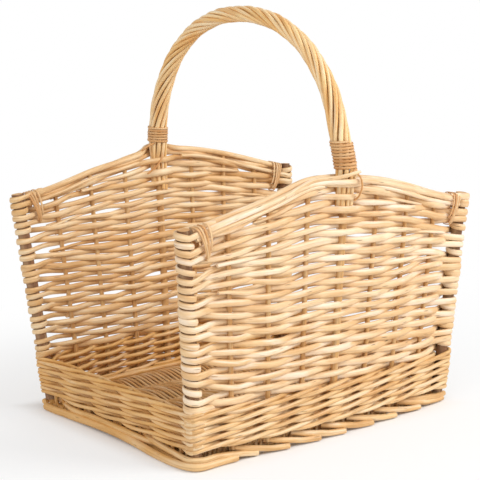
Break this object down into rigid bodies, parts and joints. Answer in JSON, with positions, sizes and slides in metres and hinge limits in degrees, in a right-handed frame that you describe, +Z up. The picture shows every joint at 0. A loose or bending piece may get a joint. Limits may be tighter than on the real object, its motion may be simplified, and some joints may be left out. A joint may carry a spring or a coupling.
{
  "type": "wicker firewood basket",
  "caption": "Oblong willow log basket: arched woven panels between corner posts, low waled ends, woven floor, twisted foot and a wound bow handle across the middle.",
  "frame": {"origin": "on the ground below the middle of the basket", "axes": "+Z up; X along the woven panels, from the left end to the right end; Y from the front panel to the back panel, the way the handle crosses"},
  "size_m": [0.5062, 0.4214, 0.5506],
  "materials": {
    "pale_willow": "peeled willow, dull satin",
    "golden_willow": "peeled willow, satin",
    "brown_willow": "buff willow, dull",
    "barked_willow": "willow in its bark, matt",
    "split_willow": "split willow, satin"
  },
  "bodies": {
    "root": {"front_left_post": "barked_willow", "front_right_post": "barked_willow", "back_left_post": "barked_willow", "back_right_post": "barked_willow", "front_stake_1": "brown_willow", "front_stake_2": "brown_willow", "front_stake_3": "brown_willow", "front_stake_5": "brown_willow", "front_stake_6": "brown_willow", "front_stake_7": "brown_willow", "back_stake_1": "brown_willow", "back_stake_2": "brown_willow", "back_stake_3": "brown_willow", "back_stake_5": "brown_willow", "back_stake_6": "brown_willow", "back_stake_7": "brown_willow", "left_end_stake_1": "brown_willow", "left_end_stake_2": "brown_willow", "left_end_stake_3": "brown_willow", "left_end_stake_4": "brown_willow", "right_end_stake_1": "brown_willow", "right_end_stake_2": "brown_willow", "right_end_stake_3": "brown_willow", "right_end_stake_4": "brown_willow", "front_weave": "pale_willow", "front_rim_outer": "pale_willow", "front_rim_inner": "pale_willow", "front_left_binding": "split_willow", "front_right_binding": "split_willow", "back_weave": "pale_willow", "back_rim_outer": "pale_willow", "back_rim_inner": "pale_willow", "back_left_binding": "split_willow", "back_right_binding": "split_willow", "wale_rod_lower": "golden_willow", "wale_rod_middle": "golden_willow", "wale_rod_upper": "golden_willow", "floor_stick_1": "brown_willow", "floor_stick_2": "brown_willow", "floor_stick_3": "brown_willow", "floor_stick_4": "brown_willow", "floor_stick_5": "brown_willow", "floor_weave": "brown_willow", "front_foot_rod_1": "golden_willow", "front_foot_rod_2": "golden_willow", "back_foot_rod_1": "golden_willow", "back_foot_rod_2": "golden_willow", "left_foot_rod_1": "golden_willow", "left_foot_rod_2": "golden_willow", "right_foot_rod_1": "golden_willow", "right_foot_rod_2": "golden_willow", "handle_bow": "brown_willow", "handle_strand_1": "golden_willow", "handle_strand_2": "golden_willow", "handle_strand_3": "golden_willow", "handle_strand_4": "golden_willow", "handle_strand_5": "golden_willow", "handle_strand_6": "golden_willow", "front_handle_binding": "split_willow", "back_handle_binding": "split_willow"}
  },
  "joints": []
}
